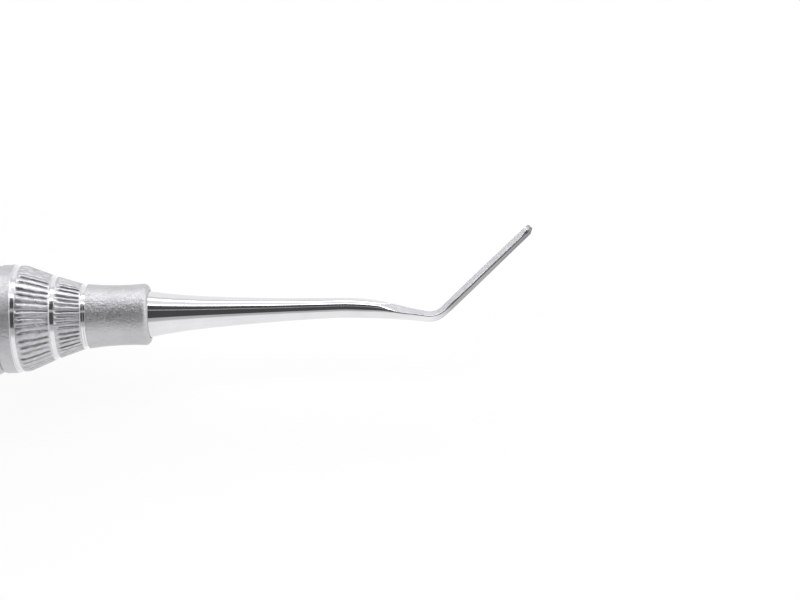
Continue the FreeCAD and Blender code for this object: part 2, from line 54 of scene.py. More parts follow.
GRIP_LOW, GRIP_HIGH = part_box("grip_tube")
AXIS_Z = (GRIP_LOW[2] + GRIP_HIGH[2]) / 2
GRIP_END = GRIP_HIGH[0]
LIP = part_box("front_collar")[1][0] - GRIP_END
CONE_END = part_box("front_cone")[1][0] - GRIP_END
SPIGOT = GRIP_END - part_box("front_cone")[0][0]
COLLAR_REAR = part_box("front_collar")[0][0] - GRIP_END
TANG_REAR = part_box("working_tip")[0][0] - GRIP_END
PLUG_FRONT = -GRIP_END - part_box("rear_plug")[0][0]
PLUG_REAR = -GRIP_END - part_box("rear_plug")[1][0]

# ---- Sizes of the pieces, as in the CAD model

GRIP_APOTHEM = (GRIP_HIGH[2] - GRIP_LOW[2]) / 2
GRIP_CORNER = 1.4 * MM
GRIP_BORE = 4.3 * MM
GRIP_END_RADIUS = 4.86 * MM
GRIP_TAPER = 2.4 * MM
RING_COUNT = 6
RING_PITCH = 2.6 * MM
RING_MARGIN = 6.5 * MM
RING_HALF_WIDTH = 0.33 * MM
RING_FLOOR = 4.95 * MM

SHOULDER_RADIUS = 5.0 * MM
SHOULDER_CHAMFER = 0.22 * MM
SHOULDER_END = 1.65 * MM
BAND_RADIUS = 4.89 * MM
BAND_BREAK = 2.36 * MM
BAND_ROUND = 1.2 * MM
MID_STATION = 5.01 * MM
MID_RADIUS = 3.83 * MM
CONE_END_RADIUS = 2.94 * MM
GROOVE_HALF = 0.21 * MM
GROOVE_DEPTH = 0.14 * MM
SEAL_STATION = -4.0 * MM
SEAL_WIDTH = 1.2 * MM
SEAL_INNER = 3.7 * MM
BUSH_BORE = 2.6 * MM
COLLAR_SPIGOT = 2.2 * MM

WAIST_CURVE = 27.7 * MM
LIP_RADIUS = 2.872 * MM
LIP_ROUND = 0.5 * MM
MOUTH_RADIUS = 2.2 * MM
MOUTH_DEPTH = 0.6 * MM

TANG_RADIUS = 1.5 * MM
SHANK_ROOT = 2.14 * MM
SHANK_MID_LENGTH = 4.6 * MM
SHANK_MID_RADIUS = 1.545 * MM
SHANK_ROOT_CURVE = 50.0 * MM
SHANK_ROUND_LENGTH = 17.0 * MM
SHANK_ROUND_RADIUS = 0.94 * MM
SHANK_CURVE = 200.0 * MM

# Neck and blade. The lean of a flat is its turn from square to the face, towards the back.
NECK_CURVE = 27.5 * MM
NECK_ANGLE = math.radians(10.5)
NECK_RUN = 4.42 * MM
BEND_RADIUS = 1.9 * MM
BLADE_ANGLE = math.radians(42.6)
BLADE_LENGTH = 12.43 * MM
BLADE_CLEARANCE = 0.02 * MM
BLADE_END_ROUND = 0.80 * MM
BLADE_END_GROUND = 0.75 * MM
EDGE_ROUND = 0.06 * MM
BACK_CORNER = 0.05 * MM
FACE_CORNER_HEEL = 0.09 * MM
FACE_CORNER_TIP = 0.15 * MM
EDGE_LEAN = math.radians(18)
EDGE_DEPTH = 0.14 * MM
BLADE_HALF_THICKNESS = 0.31 * MM
CROWN_LEAN = math.radians(11)
CROWN_FADE = 2.6 * MM
RIM_LEAN = math.radians(-15)
RIM_DEPTH = 0.07 * MM
RIM_LENGTH = 1.5 * MM
# Runs over which the blade face's dulling and painted shade, and the end's painted shade, ease in
FACE_DULL_AND_SHADE_RUN = 1.2 * MM
END_SHADE_RUN = 0.3 * MM
HOLLOW_RADIUS = 1.3 * MM
HOLLOW_DEPTH = 0.14 * MM
HOLLOW_LENGTH = 9.0 * MM
HOLLOW_TILT = math.radians(1.2)

PLUG_HEAD = 2.14 * MM

# ---- Flutes of the bands

FLUTE_COUNT = 43
FLUTE_DEPTH = 0.17 * MM
COLUMNS_PER_FLUTE = 14
FLUTE_STEP = 0.16 * MM
# A flute wavers by a slow and a quick sine wave and chatters by a third, in radians per mm
SLOW_WAVE = 2.1
QUICK_WAVE = 6.7
CHATTER_WAVE = 19
RUN_IN = 0.20 * MM
RUN_OUT = 0.16 * MM
RIDGE_ROUNDING = 0.50

# ---- Outlines of turned pieces

# Longest step of a run that needs no rows between its ends
FAR = 1.0
# Roundings of edges, from the widest to the tightest
WIDE = 0.15 * MM
SOFT = 0.05 * MM
CRISP = 0.03 * MM
TIGHT = 0.02 * MM
# A run shorter than this gets no rows of its own, and a longer one keeps this margin
SHORT_RUN = 0.12 * MM
RUN_MARGIN = 0.05 * MM
# Metres within which two points count as one
SAME_POINT = 1e-9
# Angle between the rows round a corner, where it shows and where it is hidden
CORNER_STEP = math.radians(23)
HIDDEN_CORNER_STEP = math.radians(45)


# ---- Materials

class Nodes:
    """Short calls for building one material's node tree."""

    def __init__(self, name, roughness, metallic=1.0):
        self.material = bpy.data.materials.new(name)
        self.material.use_nodes = True
        self.tree = self.material.node_tree
        self.shader = self.tree.nodes["Principled BSDF"]
        self.shader.inputs["Metallic"].default_value = metallic
        self.shader.inputs["Roughness"].default_value = roughness
        self.coordinates = self.tree.nodes.new("ShaderNodeTexCoord").outputs["Object"]

    def link(self, source, target):
        self.tree.links.new(source, target)

    def stretched(self, scale):
        """Object coordinates, scaled differently along each axis."""
        node = self.tree.nodes.new("ShaderNodeMapping")
        node.inputs["Scale"].default_value = scale
        self.link(self.coordinates, node.inputs["Vector"])
        return node.outputs["Vector"]

    def noise(self, scale, detail=2.0, rough=0.5, vector=None):
        node = self.tree.nodes.new("ShaderNodeTexNoise")
        node.inputs["Scale"].default_value = scale
        node.inputs["Detail"].default_value = detail
        node.inputs["Roughness"].default_value = rough
        self.link(vector or self.coordinates, node.inputs["Vector"])
        return node.outputs["Fac"]

    def cells(self, scale):
        node = self.tree.nodes.new("ShaderNodeTexVoronoi")
        node.inputs["Scale"].default_value = scale
        self.link(self.coordinates, node.inputs["Vector"])
        return node.outputs["Distance"]

    def spread(self, value, low, high):
        """Maps the middle of a noise's range to low..high."""
        node = self.tree.nodes.new("ShaderNodeMapRange")
        node.inputs["From Min"].default_value = 0.3
        node.inputs["From Max"].default_value = 0.7
        node.inputs["To Min"].default_value = low
        node.inputs["To Max"].default_value = high
        self.link(value, node.inputs["Value"])
        return node.outputs["Result"]

    def colour(self, value, dark, light):
        node = self.tree.nodes.new("ShaderNodeMix")
        node.data_type = "RGBA"
        node.inputs["A"].default_value = (*dark, 1)
        node.inputs["B"].default_value = (*light, 1)
        self.link(self.spread(value, 0, 1), node.inputs["Factor"])
        self.link(node.outputs["Result"], self.shader.inputs["Base Color"])

    def attribute(self, name):
        node = self.tree.nodes.new("ShaderNodeAttribute")
        node.attribute_name = name
        return node.outputs["Fac"]

    def shaded_colour(self, value, dark, light, depth, deep):
        """A varied colour that turns towards a darker one where depth nears 1: painted shade."""
        self.colour(value, dark, light)
        top = self.shader.inputs["Base Color"].links[0].from_socket
        node = self.tree.nodes.new("ShaderNodeMix")
        node.data_type = "RGBA"
        self.link(top, node.inputs["A"])
        node.inputs["B"].default_value = (*deep, 1)
        self.link(depth, node.inputs["Factor"])
        self.link(node.outputs["Result"], self.shader.inputs["Base Color"])

    def rough(self, value, low, high):
        self.link(self.spread(value, low, high), self.shader.inputs["Roughness"])

    def add_rough(self, value, amount):
        """More roughness where value is 1, on top of what rough() gave."""
        now = self.shader.inputs["Roughness"].links[0].from_socket
        node = self.tree.nodes.new("ShaderNodeMath")
        node.operation = "MULTIPLY_ADD"
        self.link(value, node.inputs[0])
        node.inputs[1].default_value = amount
        self.link(now, node.inputs[2])
        self.link(node.outputs[0], self.shader.inputs["Roughness"])

    def bump(self, value, height, strength=1.0, under=None):
        node = self.tree.nodes.new("ShaderNodeBump")
        node.inputs["Distance"].default_value = height
        node.inputs["Strength"].default_value = strength
        self.link(value, node.inputs["Height"])
        if under:
            self.link(under, node.inputs["Normal"])
        self.link(node.outputs["Normal"], self.shader.inputs["Normal"])
        return node.outputs["Normal"]


def satin_steel():
    """Bead-blasted stainless: a pitted grain with faint cloudy variation."""
    nodes = Nodes("satin_steel", 0.42)
    clouds = nodes.noise(450, 3)
    nodes.colour(clouds, (0.53, 0.53, 0.545), (0.59, 0.59, 0.605))
    nodes.rough(nodes.noise(2600, 2), 0.36, 0.48)
    pits = nodes.bump(nodes.cells(3600), 0.04 * MM, 0.35)
    nodes.bump(nodes.noise(4600, 3, 0.65), 0.08 * MM, 0.8, pits)
    return nodes.material


def fluted_steel():
    """The fluted bands: satin crests with fine drag marks, and valleys darker with painted shade."""
    nodes = Nodes("fluted_steel", 0.3)
    drag = nodes.noise(1.0, 3, 0.65, nodes.stretched((700, 5200, 5200)))
    # Painted shade: the deeper a point lies in a flute's valley, the darker its colour.
    depth = nodes.attribute("valley")
    nodes.shaded_colour(drag, (0.45, 0.45, 0.465), (0.68, 0.68, 0.695), depth, (0.22, 0.22, 0.23))
    nodes.rough(nodes.noise(2600, 2), 0.26, 0.44)
    nodes.bump(drag, 0.03 * MM, 0.6)
    return nodes.material


def groove_steel():
    """Ring grooves cut after blasting, left bright with faint turning lines."""
    nodes = Nodes("groove_steel", 0.12)
    lines = nodes.noise(1.0, 2, 0.5, nodes.stretched((26000, 300, 300)))
    nodes.colour(lines, (0.74, 0.74, 0.755), (0.82, 0.82, 0.835))
    nodes.rough(nodes.noise(3000, 2), 0.08, 0.17)
    nodes.bump(lines, 0.0012 * MM, 0.4)
    return nodes.material


def polished_steel():
    """Mirror-polished shank with faint buffing marks. On the face of the blade it is duller, rougher as a
    real finish and darker as painted shade.
    """
    nodes = Nodes("polished_steel", 0.07)
    buffing = nodes.noise(1.0, 3, 0.6, nodes.stretched((5200, 900, 900)))
    # Rougher and darker on the blade's face: the roughness is a real dull finish, the darker colour is
    # painted shade.
    dull_and_shade = nodes.attribute("dull_and_shade")
    clouds = nodes.noise(500, 2)
    nodes.shaded_colour(clouds, (0.74, 0.74, 0.75), (0.80, 0.80, 0.81), dull_and_shade, (0.20, 0.20, 0.21))
    nodes.rough(buffing, 0.045, 0.10)
    nodes.add_rough(dull_and_shade, 0.22)
    nodes.bump(buffing, 0.0010 * MM, 0.5)
    return nodes.material


def ground_steel():
    """The ground edges of the blade: fine ripples across them, and an end darker with painted shade."""
    nodes = Nodes("ground_steel", 0.3)
    ripples = nodes.noise(1.0, 2, 0.5, nodes.stretched((7200, 2400, 900)))
    # Darker near the blade's end: painted shade that tones down its highlight.
    dull_and_shade = nodes.attribute("dull_and_shade")
    clouds = nodes.noise(1500, 3)
    nodes.shaded_colour(clouds, (0.46, 0.46, 0.475), (0.52, 0.52, 0.535), dull_and_shade, (0.39, 0.39, 0.40))
    nodes.rough(nodes.noise(4000, 2), 0.30, 0.38)
    nodes.bump(ripples, 0.008 * MM, 0.6)
    return nodes.material


def turned_steel():
    """Hidden pieces as they come off the lathe, with turning lines round them."""
    nodes = Nodes("turned_steel", 0.35)
    lines = nodes.noise(1.0, 2, 0.5, nodes.stretched((14000, 300, 300)))
    nodes.colour(lines, (0.50, 0.50, 0.515), (0.66, 0.66, 0.675))
    nodes.rough(nodes.noise(2500, 2), 0.30, 0.45)
    nodes.bump(lines, 0.004 * MM, 0.6)
    return nodes.material


def seal_silicone():
    """Grey silicone with a dull, faintly mottled skin."""
    nodes = Nodes("seal_silicone", 0.6, metallic=0.0)
    mottle = nodes.noise(900, 3)
    nodes.colour(mottle, (0.20, 0.21, 0.22), (0.28, 0.29, 0.30))
    nodes.rough(mottle, 0.5, 0.68)
    nodes.bump(nodes.noise(4000, 2), 0.006 * MM, 0.5)
    return nodes.material


MATERIALS = {
    "satin": satin_steel(),
    "fluted": fluted_steel(),
    "groove": groove_steel(),
    "polished": polished_steel(),
    "ground": ground_steel(),
    "turned": turned_steel(),
    "silicone": seal_silicone(),
}


# ---- Outlines and meshes

def along(start, end, step):
    """Numbers from start up to, but not including, end, a step apart at most."""
    count = max(1, math.ceil(abs(end - start) / step))
    return [start + (end - start) * i / count for i in range(count)]


def corner_cuts(corners, points, closed):
    """Where each corner's rounding starts and ends, and the angle that it turns by."""
    count = len(corners)
    cuts = []
    for i, corner in enumerate(corners):
        if not closed and i in (0, count - 1):
            cuts.append((points[i], points[i], 0.0))
            continue
        back = points[i - 1] - points[i]
        ahead = points[(i + 1) % count] - points[i]
        turned = math.pi - back.angle(ahead)
        reach = corner[2] * math.tan(turned / 2)
        reach = min(reach, 0.45 * back.length, 0.45 * ahead.length)
        first = points[i] + back.normalized() * reach
        last = points[i] + ahead.normalized() * reach
        cuts.append((first, last, turned))
    return cuts


def corner_rows(point, cut, zone):
    """Rows round one corner, or one row where it has no rounding."""
    first, last, turned = cut
    if (last - first).length < SAME_POINT:
        return [(*point, zone)]
    hidden = zone == "turned"
    step = HIDDEN_CORNER_STEP if hidden else CORNER_STEP
    pieces = max(1 if hidden else 2, math.ceil(turned / step))
    rows = []
    for k in range(pieces + 1):
        share = k / pieces
        near = first.lerp(point, share)
        far = point.lerp(last, share)
        rows.append((*near.lerp(far, share), zone))
    return rows


def rounded_outline(corners, closed=True):
    """Rows (station, radius, zone) along an outline. Each corner is (station, radius,
    rounding, zone of the run that follows), and then the longest step of that run
    where it needs rows between its ends."""
    count = len(corners)
    points = [Vector(corner[:2]) for corner in corners]
    cuts = corner_cuts(corners, points, closed)
    rows = []
    for i, corner in enumerate(corners):
        zone = corner[3]
        rows += corner_rows(points[i], cuts[i], zone)
        if not closed and i == count - 1:
            break
        last = cuts[i][1]
        run = cuts[(i + 1) % count][0] - last
        if run.length < SHORT_RUN:
            continue
        margin = min(RUN_MARGIN, run.length * 0.25)
        longest = corner[4] if len(corner) > 4 else FAR
        inside = along(margin, run.length - margin, longest)
        for distance in inside + [run.length - margin]:
            rows.append((*(last + run * (distance / run.length)), zone))
    return rows


def grid_object(name, points, zones, wrap_rows, zone_of_face=None):
    """A mesh from rows of points, each row closed round. Rows close on each other when
    wrap_rows is set, and otherwise each end row is closed by a fan to its centre."""
    row_count, column_count = points.shape[:2]
    vertices = points.reshape(-1, 3)
    faces = []
    face_zones = []
    last_row = row_count if wrap_rows else row_count - 1
    for i in range(last_row):
        here = i * column_count
        there = ((i + 1) % row_count) * column_count
        for j in range(column_count):
            k = (j + 1) % column_count
            faces.append((here + j, here + k, there + k, there + j))
            face_zones.append(zone_of_face(i, j) if zone_of_face else zones[i])
    if not wrap_rows:
        ends = np.array([points[0].mean(axis=0), points[-1].mean(axis=0)])
        middle = len(vertices)
        vertices = np.vstack([vertices, ends])
        top = (row_count - 1) * column_count
        for j in range(column_count):
            k = (j + 1) % column_count
            faces.append((middle, k, j))
            face_zones.append(zone_of_face(0, j) if zone_of_face else zones[0])
            faces.append((middle + 1, top + j, top + k))
            face_zones.append(zone_of_face(row_count - 2, j) if zone_of_face else zones[-1])
    mesh = bpy.data.meshes.new(name)
    mesh.from_pydata(vertices.tolist(), [], faces)
    used = sorted(set(face_zones))
    for zone in used:
        mesh.materials.append(MATERIALS[zone])
    mesh.polygons.foreach_set("material_index", [used.index(zone) for zone in face_zones])
    mesh.polygons.foreach_set("use_smooth", [True] * len(faces))
    mesh.update()
    piece = bpy.data.objects.new(name, mesh)
    bpy.context.scene.collection.objects.link(piece)
    fix_direction(mesh)
    return piece


def fix_direction(mesh):
    """Turns the faces outwards if the mesh is inside out."""
    mesh.calc_loop_triangles()
    corners = np.empty(len(mesh.loop_triangles) * 3, dtype=np.int64)
    mesh.loop_triangles.foreach_get("vertices", corners)
    places = np.empty(len(mesh.vertices) * 3)
    mesh.vertices.foreach_get("co", places)
    a, b, c = places.reshape(-1, 3)[corners.reshape(-1, 3)].transpose(1, 0, 2)
    if np.einsum("ij,ij->i", a, np.cross(b, c)).sum() < 0:
        mesh.flip_normals()


def turned_points(rows, angles, radius_rule=None):
    """Points of a turned surface in the nose's own frame. radius_rule(row, angles) may
    give a radius for each angle."""
    points = np.empty((len(rows), len(angles), 3))
    for i, row in enumerate(rows):
        radius = radius_rule(row, angles) if radius_rule else row[1]
        points[i, :, 0] = row[0]
        points[i, :, 1] = radius * np.cos(angles)
        points[i, :, 2] = radius * np.sin(angles)
    return points


def from_nose(points, end):
    """From a nose's frame to the row frame: end is +1 at the front and -1 at the rear."""
    placed = points.copy()
    placed[..., 0] = end * (GRIP_END + points[..., 0])
    placed[..., 1] = end * points[..., 1]
    placed[..., 2] = AXIS_Z + points[..., 2]
    return placed


def even_angles(count):
    """Angles evenly round a turn."""
    return np.arange(count) * (2 * math.pi / count)


def finish_piece(piece, node):
    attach(piece, "root")
    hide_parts(node)


# ---- Grip

# Radii as shares of the apothem: the end taper's at its widest, the one where it runs
# out past the corners, and a finger ring's at its rims
TAPER_SHARE = 1.15
CORNER_SHARE = 1.065
RING_RIM_SHARE = 1.2
# Shares of a finger ring's half width: the part drawn in detail, and the bright floor
RING_REACH = 1.5
RING_BRIGHT_SHARE = 0.86
ROWS_PER_RING = 25
TAPER_STEP = 0.045 * MM
BODY_STEP = 4.0 * MM
COLUMNS_PER_HALF_FLAT = 5
COLUMNS_PER_CORNER = 12
# Angle from the middle of a flat to where its rounded corner starts
FLAT_EDGE = math.atan((GRIP_APOTHEM - GRIP_CORNER) * math.tan(math.pi / 8) / GRIP_APOTHEM)
GRIP_EDGE_ROUND = 0.05 * MM
BORE_CHAMFER = 0.08 * MM


def octagon_radius(angles):
    """Distance from the axis to the eight-sided section with rounded corners."""
    eighth = math.pi / 4
    from_flat = (angles + eighth / 2) % eighth - eighth / 2
    centre = (GRIP_APOTHEM - GRIP_CORNER) / math.cos(eighth / 2)
    from_corner = eighth / 2 - np.abs(from_flat)
    inside = np.maximum(GRIP_CORNER**2 - (centre * np.sin(from_corner)) ** 2, 0)
    corner = centre * np.cos(from_corner) + np.sqrt(inside)
    flat = GRIP_APOTHEM / np.cos(from_flat)
    return np.where(np.abs(from_flat) < FLAT_EDGE, flat, corner)


def soft_max(a, b, softness):
    """The larger of two values, with the edge between them eased."""
    return -soft_min(-a, -b, softness)


def soft_min(a, b, softness):
    """The smaller of two values, with the edge between them eased."""
    blend = np.clip(0.5 + 0.5 * (b - a) / softness, 0, 1)
    return b * (1 - blend) + a * blend - softness * blend * (1 - blend)


def grip_angles():
    """Columns of the grip: wider apart on the flats than round the corners."""
    next_edge = math.pi / 4 - FLAT_EDGE
    corner_step = (math.pi / 4 - 2 * FLAT_EDGE) / COLUMNS_PER_CORNER
    angles = []
    for side in range(8):
        middle = side * math.pi / 4
        angles += [middle + a for a in along(-FLAT_EDGE, FLAT_EDGE, FLAT_EDGE / COLUMNS_PER_HALF_FLAT)]
        angles += [middle + a for a in along(FLAT_EDGE, next_edge, corner_step)]
    return np.array(angles)


def grip_rows():
    """Outer rows (station, turned radius) from the rear end to the front, and the
    stations of the finger rings."""
    outside = GRIP_APOTHEM * TAPER_SHARE
    taper_slope = (outside - GRIP_END_RADIUS) / GRIP_TAPER
    taper_end = GRIP_END - (GRIP_APOTHEM * CORNER_SHARE - GRIP_END_RADIUS) / taper_slope
    last = GRIP_END - RING_MARGIN
    front_rings = [last - RING_PITCH * (RING_COUNT - 1 - i) for i in range(RING_COUNT)]
    ring_places = sorted([-place for place in front_rings] + front_rings)
    taper = [-GRIP_END + distance for distance in along(0, GRIP_END - taper_end, TAPER_STEP)]
    stations = taper + [-station for station in taper]
    for place in ring_places:
        for offset in np.linspace(-RING_REACH, RING_REACH, ROWS_PER_RING):
            stations.append(place + offset * RING_HALF_WIDTH)
    stations += along(-taper_end, taper_end, BODY_STEP)
    stations = sorted(set(round(station, 8) for station in stations))
    rows = []
    for station in stations:
        turned = GRIP_END_RADIUS + taper_slope * (GRIP_END - abs(station))
        rows.append((station, min(turned, outside)))
    return rows, ring_places


def build_grip():
    """The eight-sided tube, turned at its ends and ringed, with its bore."""
    rows, ring_places = grip_rows()
    angles = grip_angles()
    section = octagon_radius(angles)
    outer = np.empty((len(rows), len(angles), 3))
    zones = []
    for i, (station, turned) in enumerate(rows):
        radius = soft_min(section, turned, GRIP_EDGE_ROUND)
        nearest = min(abs(station - place) for place in ring_places)
        bow = max(0.0, 1 - (nearest / RING_HALF_WIDTH) ** 2)
        floor = RING_FLOOR + (GRIP_APOTHEM * RING_RIM_SHARE - RING_FLOOR) * (1 - math.sqrt(bow))
        if nearest < RING_HALF_WIDTH * RING_REACH:
            radius = soft_min(radius, floor, GRIP_EDGE_ROUND)
        outer[i, :, 0] = station
        outer[i, :, 1] = radius * np.cos(angles)
        outer[i, :, 2] = radius * np.sin(angles)
        zones.append("groove" if nearest < RING_HALF_WIDTH * RING_BRIGHT_SHARE else "satin")
    ends = [
        (GRIP_END, GRIP_BORE + BORE_CHAMFER, "turned"),
        (GRIP_END - BORE_CHAMFER, GRIP_BORE, "turned"),
        (-GRIP_END + BORE_CHAMFER, GRIP_BORE, "turned"),
        (-GRIP_END, GRIP_BORE + BORE_CHAMFER, "turned"),
    ]
    inner = turned_points(ends, angles)
    points = np.concatenate([outer, inner])
    zones += ["turned"] * len(ends)
    points[..., 2] += AXIS_Z
    grip = grid_object("grip", points, zones, wrap_rows=True)
    finish_piece(grip, "grip_tube")


# ---- Nose cones

class Flutes:
    """Irregular V-shaped flutes, each with its own place, depth, width and waver."""

    def __init__(self, seed):
        source = np.random.default_rng(seed)
        count = FLUTE_COUNT
        self.shift = source.uniform(-0.12, 0.12, count)
        self.depth = source.uniform(0.75, 1.2, count)
        self.half_width = source.uniform(0.26, 0.44, count)
        self.start = source.uniform(0.0, 0.25, count) * MM
        self.stop = source.uniform(0.0, 0.20, count) * MM
        self.waver = source.uniform(0.02, 0.06, (2, count))
        # Row 2 is never read, and keeps the later draws as they are
        self.phase = source.uniform(0, 2 * math.pi, (4, count))
        self.narrowing = source.uniform(0.15, 0.5, count)

    def drop(self, station, first, last, angles):
        """How far the surface lies below the cone at one station, for each angle."""
        turns = angles / (2 * math.pi) * FLUTE_COUNT
        number = np.floor(turns).astype(int) % FLUTE_COUNT
        wave = np.sin(station / MM * SLOW_WAVE + self.phase[0][number]) * self.waver[0][number]
        wave += np.sin(station / MM * QUICK_WAVE + self.phase[1][number]) * self.waver[1][number] * 0.5
        across = turns - np.floor(turns) - 0.5 - (self.shift[number] + wave)
        share = (station - first) / (last - first)
        narrow = 1 - self.narrowing[number] * share
        half = self.half_width[number] * narrow
        reach = np.clip(1 - np.abs(across) / half, 0, 1)
        valley = reach * reach * (1.9 - 0.9 * reach)
        ridge = RIDGE_ROUNDING * np.clip(1 - 2 * np.abs(across), 0, 1) ** 2
        rise_in = np.clip((station - first - self.start[number]) / RUN_IN, 0, 1)
        rise_out = np.clip((last - station - self.stop[number]) / RUN_OUT, 0, 1)
        ease = rise_in * (2 - rise_in) * rise_out * (2 - rise_out)
        chatter = 0.5 + 0.5 * np.sin(station / MM * CHATTER_WAVE + self.phase[3][number])
        cut = valley * self.depth[number] * (0.55 + 0.45 * narrow) * (1 - 0.12 * chatter)
        return FLUTE_DEPTH * ease * soft_max(cut, ridge, 0.06)


def groove_corners(station, rear_radius, floor, front_radius):
    """The corners of a flat-floored ring groove, with flutes in front of it."""
    return [
        (station - GROOVE_HALF, rear_radius, SOFT, "groove"),
        (station - GROOVE_HALF, floor, SOFT, "groove"),
        (station + GROOVE_HALF, floor, SOFT, "groove"),
        (station + GROOVE_HALF, front_radius, SOFT, "fluted", FLUTE_STEP),
    ]


def cone_rows():
    """Rows round a nose: bore, seal groove, shoulder, two fluted bands and spigot."""
    first_slope = (MID_RADIUS - BAND_RADIUS) / (MID_STATION - BAND_BREAK)
    second_slope = (CONE_END_RADIUS - MID_RADIUS) / (CONE_END - MID_STATION)
    seal_back = SEAL_STATION - SEAL_WIDTH / 2
    seal_front = SEAL_STATION + SEAL_WIDTH / 2
    corners = [
        (-SPIGOT, BUSH_BORE, SOFT, "turned"),
        (-SPIGOT, GRIP_BORE, WIDE, "turned"),
        (seal_back, GRIP_BORE, CRISP, "turned"),
        (seal_back, SEAL_INNER, CRISP, "turned"),
        (seal_front, SEAL_INNER, CRISP, "turned"),
        (seal_front, GRIP_BORE, CRISP, "turned"),
        (0, GRIP_BORE, CRISP, "turned"),
        (0, SHOULDER_RADIUS - SHOULDER_CHAMFER, SOFT, "satin"),
        (SHOULDER_CHAMFER, SHOULDER_RADIUS, WIDE, "satin"),
    ]
    corners += groove_corners(SHOULDER_END, SHOULDER_RADIUS, BAND_RADIUS - GROOVE_DEPTH, BAND_RADIUS)
    corners.append((BAND_BREAK, BAND_RADIUS, BAND_ROUND, "fluted", FLUTE_STEP))
    before_groove = MID_RADIUS - first_slope * GROOVE_HALF
    after_groove = MID_RADIUS + second_slope * GROOVE_HALF
    corners += groove_corners(MID_STATION, before_groove, MID_RADIUS - GROOVE_DEPTH, after_groove)
    corners += [
        (CONE_END - GROOVE_HALF, CONE_END_RADIUS - second_slope * GROOVE_HALF, SOFT, "groove"),
        (CONE_END - GROOVE_HALF, CONE_END_RADIUS - GROOVE_DEPTH, SOFT, "groove"),
        (CONE_END, CONE_END_RADIUS - GROOVE_DEPTH, TIGHT, "turned"),
        (CONE_END, COLLAR_SPIGOT, CRISP, "turned"),
        (COLLAR_REAR, COLLAR_SPIGOT, CRISP, "turned"),
        (COLLAR_REAR, BUSH_BORE, CRISP, "turned"),
    ]
    return rounded_outline(corners)


def build_cone(name, node, end, seed):
    """A nose, at the front where end is 1 and at the rear where it is -1."""
    rows = cone_rows()
    flutes = Flutes(seed)
    angles = even_angles(FLUTE_COUNT * COLUMNS_PER_FLUTE)
    first = SHOULDER_END + GROOVE_HALF
    middle = (MID_STATION - GROOVE_HALF, MID_STATION + GROOVE_HALF)
    last = CONE_END - GROOVE_HALF

    def radius_rule(row, angles):
        """The cone's radius, less the flutes of the band that the row is in."""
        station, radius, zone = row
        if zone != "fluted":
            return radius
        if station < MID_STATION:
            return radius - flutes.drop(station, first, middle[0], angles)
        return radius - flutes.drop(station, middle[1], last, angles)

    nose_points = turned_points(rows, angles, radius_rule)
    points = from_nose(nose_points, end)
    cone = grid_object(name, points, [row[2] for row in rows], wrap_rows=True)
    # Painted shade for the flutes: each point's depth below the smooth cone goes on as the valley
    # attribute, which darkens the fluted material.
    smooth = np.array([[row[1]] for row in rows])
    depth = (smooth - np.hypot(nose_points[..., 1], nose_points[..., 2])) / FLUTE_DEPTH
    valley = cone.data.attributes.new("valley", "FLOAT", "POINT")
    valley.data.foreach_set("value", np.clip(depth, 0, 1).ravel())
    finish_piece(cone, node)


# ---- Collars

def waist_radius(station):
    """The collar's hollow waist: an arc between the ring groove and the lip."""
    start = (CONE_END, CONE_END_RADIUS + 0.06 * MM)
    finish = (LIP, LIP_RADIUS)
    return arc_radius(station, start, finish, WAIST_CURVE)


def arc_radius(station, start, finish, curve):
    """Radius at a station on an arc from start to finish that bows towards the axis."""
    run = finish[0] - start[0]
    rise = finish[1] - start[1]
    chord = math.hypot(run, rise)
    sink = math.sqrt(curve**2 - chord**2 / 4)
    centre_x = (start[0] + finish[0]) / 2 - rise / chord * sink
    centre_r = (start[1] + finish[1]) / 2 + run / chord * sink
    return centre_r - math.sqrt(curve**2 - (station - centre_x) ** 2)


COLLAR_COLUMNS = 160
WAIST_STEP = 0.4 * MM


def collar_rows():
    """Rows round a collar: spigot, groove, waist, rounded lip and the socket inside."""
    groove_front = CONE_END + GROOVE_HALF
    lip_start = LIP - LIP_ROUND
    corners = [
        (COLLAR_REAR, TANG_RADIUS, SOFT, "turned"),
        (COLLAR_REAR, COLLAR_SPIGOT, SOFT, "turned"),
        (CONE_END, COLLAR_SPIGOT, TIGHT, "turned"),
        (CONE_END, CONE_END_RADIUS - GROOVE_DEPTH, TIGHT, "groove"),
        (groove_front, CONE_END_RADIUS - GROOVE_DEPTH, SOFT, "groove"),
        (groove_front, waist_radius(groove_front), SOFT, "satin"),
    ]
    for station in along(groove_front + 0.25 * MM, lip_start, WAIST_STEP):
        corners.append((station, waist_radius(station), 0, "satin"))
    for degrees in range(90, 0, -10):
        angle = math.radians(degrees)
        station = lip_start + LIP_ROUND * math.cos(angle)
        radius = waist_radius(lip_start) - LIP_ROUND * (1 - math.sin(angle))
        corners.append((station, radius, 0, "satin"))
    corners += [
        (LIP, waist_radius(lip_start) - LIP_ROUND, CRISP, "satin"),
        (LIP, MOUTH_RADIUS, SOFT, "turned"),
        (LIP - MOUTH_DEPTH, MOUTH_RADIUS, TIGHT, "turned"),
        (LIP - MOUTH_DEPTH, TANG_RADIUS, TIGHT, "turned"),
    ]
    return rounded_outline(corners)


def build_collar(name, node, end):
    """A collar, at the front where end is 1 and at the rear where it is -1."""
    rows = collar_rows()
    points = from_nose(turned_points(rows, even_angles(COLLAR_COLUMNS)), end)
    collar = grid_object(name, points, [row[2] for row in rows], wrap_rows=True)
    finish_piece(collar, node)


# ---- Working tip

TANG_CHAMFER = 0.2 * MM
SHANK_CHAMFER = 0.08 * MM
# Steps between rows along the two arcs of the shank
ROOT_STEP = 0.25 * MM
SHANK_STEP = 0.3 * MM
